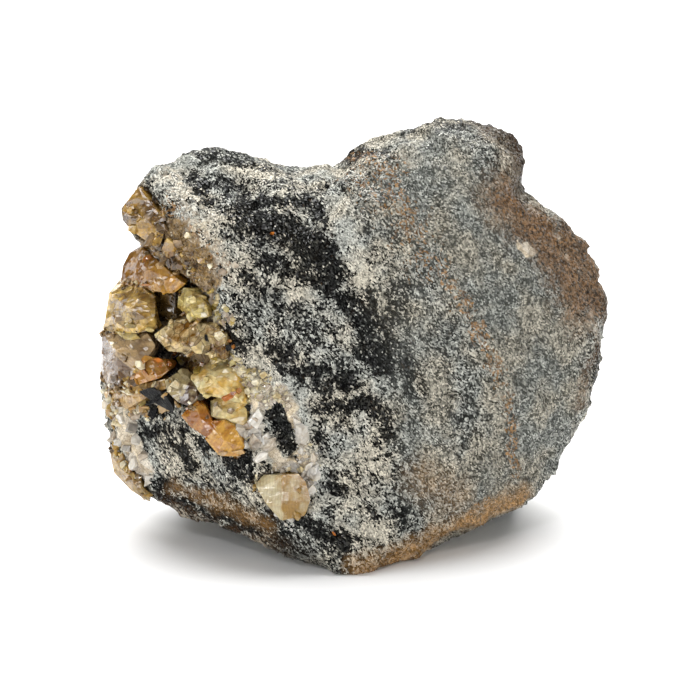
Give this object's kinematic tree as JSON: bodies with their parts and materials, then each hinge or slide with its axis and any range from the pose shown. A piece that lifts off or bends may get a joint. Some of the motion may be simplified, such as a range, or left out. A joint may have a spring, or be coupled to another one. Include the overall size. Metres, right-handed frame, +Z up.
{
  "type": "rough titanite",
  "caption": "Rough hand specimen of banded grey gneiss with honey-brown titanite crystals standing in a broken vein pocket at its left end, resting on a flat underside",
  "frame": {"origin": "middle of the specimen's bounding box seen from above, on the surface that it rests on", "axes": "+X is the specimen's long direction, with the titanite vein at the -X end; +Y points to the back, away from the broad front break; +Z is up"},
  "size_m": [0.0912, 0.055, 0.0727],
  "materials": {
    "gneiss": "broken banded gneiss, fine black hornblende and pale feldspar grains, dull with small glints, rust and tan weathering",
    "honey_titanite": "translucent honey-yellow crystal faces with a resinous lustre",
    "amber_titanite": "translucent orange-brown crystal faces with a resinous lustre",
    "olive_titanite": "translucent olive-brown crystal, glassy steps that glint",
    "pale_titanite": "cream to pale yellow crystal, waxy, partly translucent",
    "smoky_titanite": "grey-lavender to tan crystal, glassy, lightly stained",
    "quartz": "sugary grey-white quartz with bright glints",
    "hornblende": "black cleavage faces, vitreous"
  },
  "bodies": {
    "root": {"host_rock": "gneiss", "nose_titanite": "honey_titanite", "overhang_titanite": "amber_titanite", "olive_titanite": "olive_titanite", "cleft_titanite": "olive_titanite", "yellow_titanite": "pale_titanite", "honey_titanite": "honey_titanite", "lavender_titanite": "smoky_titanite", "amber_titanite": "amber_titanite", "wedge_titanite": "amber_titanite", "shelf_titanite": "honey_titanite", "pale_titanite": "smoky_titanite", "corner_titanite": "pale_titanite", "rim_titanite": "honey_titanite", "sugary_quartz": "quartz", "hornblende_blade": "hornblende"}
  },
  "joints": []
}
